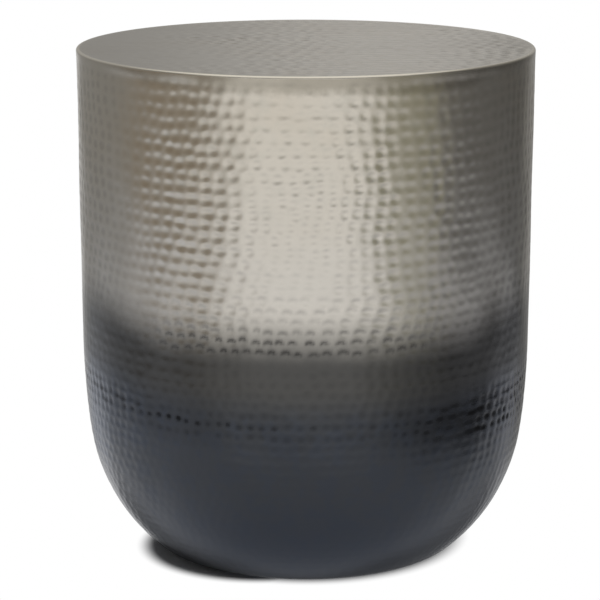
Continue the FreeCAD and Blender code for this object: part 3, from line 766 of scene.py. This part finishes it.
def metalGround(s, place):
    # what wall, bowl and top share: two noises, the nickel's colour, its roughness and fine relief
    patches = s.noise(place, *finish["patches"])
    fine = s.noise(place, *finish["fine"])
    grain = s.noise(place, *finish["grain"])
    warm = s.mix(s.rise(patches, *finish["warmPatches"]), finish["nickel"], finish["nickelWarm"])
    nickel = s.mix(s.rise(fine, *finish["oliveSpecks"]), warm, finish["nickelOlive"])
    roughness = s.math("MULTIPLY_ADD", fine, finish["roughFine"], finish["roughness"])
    roughness = s.math("MULTIPLY_ADD", grain, finish["roughGrain"], roughness)
    normal = s.bump(s.math("MULTIPLY_ADD", fine, finish["reliefFine"], grain), *finish["relief"])
    return patches, fine, nickel, {"Roughness": roughness, "Normal": normal, "Specular_IOR_Level": 0.0}


def topMetal(name):
    # nickel with long smears, and a painted highlight along the rim's rounding
    s = Shader(bpy.data.materials.new(name))
    place = s.place()
    _, _, nickel, rest = metalGround(s, place)
    smears = s.noise(place, *finish["smears"])
    nickel = s.mix(s.rise(smears, *finish["topSmears"]), nickel, finish["topSmear"])
    # painted highlight along the rim's rounding
    colour = s.mix(s.attribute("rimHighlight"), nickel, finish["rimHighlight"])
    s.surface(Base_Color=colour, Metallic=1.0, **rest)
    return s.owner


def ombreMetal(name):
    # champagne nickel that fades to gunmetal by height; the level is the height with a slight
    # waver, lowered at both sides so that the fade climbs there
    s = Shader(bpy.data.materials.new(name))
    place = s.place()
    patches, fine, nickel, rest = metalGround(s, place)
    x, _, height = s.split(place)[:3]
    waver, speck = finish["fadeWaver"], finish["fadeSpeck"]
    level = s.math("ADD", height, s.math("MULTIPLY_ADD", patches, waver, -waver / 2))
    level = s.math("ADD", level, s.math("MULTIPLY_ADD", fine, speck, -speck / 2))
    level = s.math("SUBTRACT", level, s.rise(s.math("ABSOLUTE", x), *finish["fadeClimb"]))
    level = s.math("ADD", level, s.rise(x, *finish["fadeDip"]))
    foot = s.mix(s.rise(level, *finish["gunmetalFootTo"]), finish["gunmetalFoot"], finish["gunmetal"])
    # painted darker reflection round the bowl's upper part
    foot = s.mix(s.rise(level, *finish["gunmetalDeepFrom"]), foot, finish["gunmetalDeep"])
    foot = s.mix(s.rise(fine, *finish["blueSpecks"]), foot, finish["gunmetalBlue"])
    lower = s.mix(s.rise(level, *finish["smokeFrom"]), foot, finish["smoke"])
    upper = s.mix(s.rise(level, *finish["nickelLowTo"]), finish["nickelLow"], nickel)
    streaks = s.noise(place, *finish["streaks"])
    # painted shade in streaks just under the rim
    rimShade = s.math("MULTIPLY", s.rise(level, *finish["underRimShadeFrom"]), s.rise(streaks, *finish["rimStreaks"]))
    upper = s.mix(rimShade, upper, finish["underRimShade"])
    colour = s.mix(s.rise(level, *finish["fade"]), lower, upper)
    # painted dark reflections in the dents, from the skins' attribute
    paintedDark = s.attribute("paintedDark")
    colour = s.mix(paintedDark, colour, finish["paintedDark"])
    s.surface(Base_Color=colour, Metallic=s.rise(paintedDark, *finish["darkMatt"]), **rest)
    return s.owner


# The plain materials inside; noises, changes and reliefs are written as for the hammered metal.
plain = {
    "lines": (30.0, 4.0, 0.6),
    "lineShade": 0.72,
    "lineTone": (0.35, 0.7),
    "lineRelief": (0.0002, 0.3),
    "spots": (160.0, 2.0, 0.6),
    "spotRough": 0.16,
    "fibres": (220.0, 4.0, 0.65, (1.0, 0.25, 1.0)),
    "fibreTone": (0.3, 0.72),
    "fibreRelief": (0.0002, 0.5),
    "plyTone": (-0.2, 0.2, 0.0, 0.6),
    "boardRough": 0.85,
    "cloud": (4.0, 0.6),
    "cloudTone": (0.4, 0.8, 0.0, 0.7),
    "cloudRelief": (0.0002, 0.4),
    "cloudRough": 0.15,
    "bloom": (1.6, 0.01),  # the paler colour is this much times the colour, plus this much
}


def barMetal(name, colour, roughness, streak):
    # plain metal with darker level lines, closer together the higher streak is
    s = Shader(bpy.data.materials.new(name))
    place = s.place()
    lines = s.noise(place, *plain["lines"], stretch=(1.0, 1.0, streak))
    spots = s.noise(place, *plain["spots"])
    dark = tuple(plain["lineShade"] * c for c in colour)
    tone = s.mix(s.rise(lines, *plain["lineTone"]), colour, dark)
    rough = s.math("MULTIPLY_ADD", spots, plain["spotRough"], roughness)
    s.surface(Base_Color=tone, Metallic=1.0, Roughness=rough, Normal=s.bump(lines, *plain["lineRelief"]))
    return s.owner


def boardMaterial(name, light, dark, plies=0.0):
    # pressed or layered wood: fibres alone for fibreboard, and sine bands of height for plies
    s = Shader(bpy.data.materials.new(name))
    place = s.place()
    fibres = s.noise(place, *plain["fibres"])
    tone = s.mix(s.rise(fibres, *plain["fibreTone"]), light, dark)
    if plies:
        wave = s.math("SINE", s.math("MULTIPLY", s.split(place)["Z"], plies))
        tone = s.mix(s.rise(wave, *plain["plyTone"]), tone, dark)
    normal = s.bump(fibres, *plain["fibreRelief"])
    s.surface(Base_Color=tone, Roughness=plain["boardRough"], Normal=normal)
    return s.owner


def softMaterial(name, colour, roughness, scale):
    # rubber, nylon or adhesive with a slightly paler bloom
    s = Shader(bpy.data.materials.new(name))
    cloud = s.noise(s.place(), scale, *plain["cloud"])
    times, plus = plain["bloom"]
    pale = tuple(min(1.0, times * c + plus) for c in colour)
    tone = s.mix(s.rise(cloud, *plain["cloudTone"]), colour, pale)
    rough = s.math("MULTIPLY_ADD", cloud, plain["cloudRough"], roughness)
    s.surface(Base_Color=tone, Roughness=rough, Normal=s.bump(cloud, *plain["cloudRelief"]))
    return s.owner


ombre = ombreMetal("ombreShell")
nickelTop = topMetal("nickelTop")
for piece, material in ((wallSkin, ombre), (bowlSkin, ombre), (topSkin, nickelTop)):
    piece.data.materials.clear()
    piece.data.materials.append(material)

bar = barMetal("millBar", (0.60, 0.60, 0.585), roughness=0.34, streak=8.0)
weld = barMetal("weldBead", (0.48, 0.47, 0.46), roughness=0.42, streak=60.0)
zinc = barMetal("zincScrew", (0.68, 0.68, 0.64), roughness=0.26, streak=3.0)
fibreboard = boardMaterial("fibreboard", (0.42, 0.29, 0.17), (0.30, 0.20, 0.11))
plywood = boardMaterial("plywood", (0.60, 0.43, 0.26), (0.42, 0.28, 0.15), plies=2100.0)
adhesive = softMaterial("adhesiveFilm", (0.66, 0.62, 0.50), roughness=0.43, scale=60.0)
rubber = softMaterial("padRubber", (0.022, 0.022, 0.023), roughness=0.68, scale=260.0)
nylon = softMaterial("plugNylon", (0.035, 0.035, 0.037), roughness=0.35, scale=120.0)

for node, material in {
        "rim_hoop": bar, "waist_hoop": bar, "wall_seam_strip": bar, "core_lugs": bar,
        "rim_hoop_welds": weld, "waist_hoop_welds": weld,
        "core_screws": zinc, "tee_nuts": zinc, "pad_washers": zinc, "pad_screws": zinc,
        "top_core": fibreboard, "base_disc": plywood, "core_adhesive": adhesive,
        "foot_pads": rubber, "vent_plug": nylon}.items():
    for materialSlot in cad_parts[node].material_slots:
        materialSlot.material = material
print("materials set")


ground = {
    "radius": 9.0,
    "colour": (0.9, 0.9, 0.9),
    "shadowCentre": (0.002, 0.017, 0.0),
    "shadowLeft": (-0.048, -0.021, 0.0),  # a smaller round patch that draws the shadow out to the left
    "shadowRatio": 1.333,
    "shadowEdge": (0.143, 0.171),  # the floor's own shading ends here and plain white begins
    "beneath": (0.138, 0.130),  # inside this the floor hides nothing of the base
}


def makeFloor():
    # plain white to the camera, with the object's own shadow kept within two round patches;
    # it is clear from below, and under the base for every ray but the camera's
    size = ground["radius"]
    mesh = bpy.data.meshes.new("floor")
    corners = [(-size, -size, 0), (size, -size, 0), (size, size, 0), (-size, size, 0)]
    mesh.from_pydata(corners, [], [(0, 1, 2, 3)])
    floor = bpy.data.objects.new("floor", mesh)
    bpy.context.collection.objects.link(floor)
    s = Shader(bpy.data.materials.new("paleFloor"))
    place = s.place()

    def distanceTo(centre):
        node = s.add("ShaderNodeVectorMath", operation="DISTANCE")
        s.join(place, node.inputs[0])
        node.inputs[1].default_value = centre
        return node.outputs["Value"]

    left = s.math("MULTIPLY", distanceTo(ground["shadowLeft"]), ground["shadowRatio"])
    far = s.rise(s.math("MINIMUM", distanceTo(ground["shadowCentre"]), left), *ground["shadowEdge"])
    ray = s.add("ShaderNodeLightPath").outputs
    white = s.add("ShaderNodeEmission")
    white.inputs["Color"].default_value = (1, 1, 1, 1)
    white.inputs["Strength"].default_value = 1.0
    matt = s.add("ShaderNodeBsdfDiffuse")
    s.feed(matt.inputs["Color"], ground["colour"])
    seen = s.blend(s.math("MULTIPLY", far, ray["Is Camera Ray"]), matt.outputs[0], white.outputs[0])
    below = s.add("ShaderNodeNewGeometry").outputs["Backfacing"]
    beneath = s.rise(distanceTo((0.0, 0.0, 0.0)), *ground["beneath"])
    beneath = s.math("MULTIPLY", beneath, s.math("SUBTRACT", 1.0, ray["Is Camera Ray"]))
    mirrored = s.math("MULTIPLY", far, ray["Is Glossy Ray"])
    clear = s.math("MAXIMUM", s.math("MAXIMUM", mirrored, below), beneath)
    nothing = s.add("ShaderNodeBsdfTransparent").outputs[0]
    s.join(s.blend(clear, seen, nothing), s.output.inputs["Surface"])
    mesh.materials.append(s.owner)


# What the metal sees, by direction, in degrees: turn is 0 in front and 90 on the right, away is
# the same without its sign, behind is 0 at the back, and lift is the angle over the horizon.
# Each layer covers the ones before it where all its angles are within their edges; an edge is
# where the layer begins and where it is full. A colour may go over to another one by lift.
surroundings = {
    "room": (0.340, 0.335, 0.325),
    "walls": [
        {"colour": (0.220, 0.215, 0.205), "turn": [(30, 90), (172, 150)]},  # dimmer on the right
        {"colour": (0.350, 0.344, 0.332), "away": [(140, 165)]},  # back wall
        {"colour": (0.345, 0.336, 0.320), "other": (0.690, 0.680, 0.660), "otherFrom": (5.7, 8.3),
         "behind": [(-4.8, 2.0), (6.4, 3.4)]},  # bright strip at the back
        {"colour": (0.860, 0.850, 0.820), "lift": [(36, 60)]},  # overhead panel
        {"colour": (0.860, 0.850, 0.820), "away": [(75, 45)], "lift": [(12, 26)]},
        {"colour": (0.338, 0.331, 0.316), "other": (0.272, 0.267, 0.257), "otherFrom": (-11.0, -13.0),
         "turn": [(-165, -140), (-20, -60)], "lift": [(16, 4)]},  # left card
        {"colour": (0.342, 0.286, 0.216), "turn": [(-112, -84), (-20, -60)],
         "lift": [(-13.6, -9.5), (16, 0)]},  # warm card
        {"colour": (0.345, 0.335, 0.236), "turn": [(20, 45), (77, 58)],
         "lift": [(-16, -10), (8, -2)]},  # olive card
        {"colour": (0.146, 0.144, 0.139), "other": (0.078, 0.079, 0.080), "otherFrom": (-8.5, -12),
         "turn": [(62, 84), (150, 134)], "lift": [(16, 4)]},  # right card
        {"colour": (0.930, 0.970, 1.060), "turn": [(-165, -145), (-35, -75)],
         "lift": [(-13.6, -15.4)]},  # pale floor beyond the left card
        {"colour": (0.860, 0.875, 0.930), "turn": [(35, 60), (150, 134)],
         "lowered": [(-13.7, -14.6)]},  # and beyond the right card
    ],
    "floorFront": (0.740, 0.740, 0.745),
    "floor": [
        {"colour": (1.050, 1.050, 1.060), "turn": [(-30, -115)]},
        {"colour": (1.050, 1.050, 1.060), "share": 0.7, "turn": [(75, 150)]},
        {"colour": (0.200, 0.205, 0.215), "share": 0.42, "turn": [(112, 136), (178, 166)]},
        {"colour": (0.625, 0.640, 0.668), "lift": [(-35, -75)]},  # close under the drum
        {"colour": (0.200, 0.205, 0.215), "away": [(118, 152)],
         "lift": [(-72, -58), (-24, -33)]},  # the drum's own shadow
    ],
    "floorEdge": (-18, -25),
    "front": [
        {"colour": (0.140, 0.140, 0.148), "turn": [(40, 72), (126, 98)],
         "lift": [(-27, -22), (-17, -19.5)]},  # dark flag low on the right
        {"colour": (1.280, 1.271, 1.254), "other": (1.410, 1.400, 1.378), "otherFrom": (-12, -2),
         "panelTurn": [("panelLeft", -38), (70, 28)],
         "lift": [(-24.5, -21), (1.5, -2.5)]},  # front panel
        {"colour": (1.000, 1.000, 1.000), "awayShifted": [(155, 178)],
         "lift": [(-30, -20), (2, -5)]},  # bright floor at the back
    ],
    "lowering": (90, 112, 0.0, 0.35),  # over this turn the right floor's edge sinks
    "panelNarrowing": [(-14.5, -9.5, 0.80, 1.40), (-14, -19.5, 0.0, 0.6), (-10.5, -8.0, 0.0, 0.14)],
    "panelLeft": (-13.2, -11.4, -89.0, -74.0),  # over this lift the panel's left end moves in
    "shift": 5.0,  # awayShifted is away, but counted from this turn
    "matt": (0.07, 0.07, 0.07),  # all that matt surfaces get from the world
}


def makeWorld():
    # white to the camera, the layers above to metal, and nearly dark to matt surfaces
    world = bpy.data.worlds.new("studio")
    bpy.context.scene.world = world
    s = Shader(world, "ShaderNodeOutputWorld")
    x, y, z = s.split(s.add("ShaderNodeTexCoord").outputs["Generated"])[:3]
    degrees = 180 / math.pi
    turn = s.math("MULTIPLY", s.math("ARCTAN2", x, s.math("MULTIPLY", y, -1.0)), degrees)
    lift = s.math("MULTIPLY", s.math("ARCSINE", z), degrees)
    narrowing = 0.0
    for ramp in surroundings["panelNarrowing"]:
        narrowing = s.math("ADD", s.rise(lift, *ramp), narrowing)
    angle = {
        "turn": turn,
        "lift": lift,
        "away": s.math("ABSOLUTE", turn),
        "awayShifted": s.math("ABSOLUTE", s.math("SUBTRACT", turn, surroundings["shift"])),
        "behind": s.math("MULTIPLY", s.math("ARCTAN2", x, y), degrees),
        "lowered": s.math("ADD", lift, s.rise(turn, *surroundings["lowering"])),
        "panelTurn": s.math("MULTIPLY", turn, narrowing),
        "panelLeft": s.rise(lift, *surroundings["panelLeft"]),
    }

    def cover(tone, layers):
        # a layer's mask is the product of its edges and its share; an edge may begin at one of
        # the angles, given by its name
        for layer in layers:
            colour = layer["colour"]
            if "other" in layer:
                colour = s.mix(s.rise(lift, *layer["otherFrom"]), colour, layer["other"])
            mask = layer.get("share", 1.0)
            edges = [(name, edge) for name in layer if name in angle for edge in layer[name]]
            for name, (begin, full) in edges:
                mask = s.math("MULTIPLY", s.rise(angle[name], angle.get(begin, begin), full), mask)
            tone = s.mix(mask, tone, colour)
        return tone

    tone = cover(surroundings["room"], surroundings["walls"])
    floorTone = cover(surroundings["floorFront"], surroundings["floor"])
    tone = s.mix(s.rise(lift, *surroundings["floorEdge"]), tone, floorTone)
    tone = cover(tone, surroundings["front"])

    def background(colour):
        node = s.add("ShaderNodeBackground")
        s.feed(node.inputs["Color"], colour)
        return node.outputs[0]

    ray = s.add("ShaderNodeLightPath").outputs
    lit = s.blend(ray["Is Diffuse Ray"], background(tone), background(surroundings["matt"]))
    direct = s.math("MAXIMUM", ray["Is Camera Ray"], ray["Is Transmission Ray"])
    s.join(s.blend(direct, lit, background((1.0, 1.0, 1.0))), s.output.inputs["Surface"])


lamps = [
    {"name": "overheadPanel", "place": (0.3, -0.2, 2.6), "target": (0, 0, 0), "size": 1.6, "watts": 26},
    {"name": "keyPanel", "place": (1.3, -1.9, 1.3), "target": (0, 0, 0.05), "size": 0.8, "watts": 12},
]
view = {
    "sensor": 36.0,
    "lens": 147.92,
    "place": (-0.00576, -2.453, 0.8200),
    "lookDown": 13.004,  # degrees
}


def makeLamp(name, place, target, size, watts):
    # a square area light that only matt surfaces see
    data = bpy.data.lights.new(name, "AREA")
    data.size = size
    data.energy = watts
    lamp = bpy.data.objects.new(name, data)
    bpy.context.collection.objects.link(lamp)
    aim = Vector(target) - Vector(place)
    lamp.matrix_world = Matrix.Translation(place) @ aim.to_track_quat("-Z", "Y").to_matrix().to_4x4()
    lamp.visible_camera = False
    lamp.visible_glossy = False


def makeCamera():
    data = bpy.data.cameras.new("camera")
    data.sensor_width = view["sensor"]
    data.lens = view["lens"]
    camera = bpy.data.objects.new("camera", data)
    bpy.context.collection.objects.link(camera)
    camera.location = view["place"]
    camera.rotation_euler = (math.radians(90 - view["lookDown"]), 0, 0)
    bpy.context.scene.camera = camera


makeFloor()
makeWorld()
makeCamera()
for lamp in lamps:
    makeLamp(**lamp)
bpy.context.scene.view_settings.view_transform = "Standard"
print("studio set")
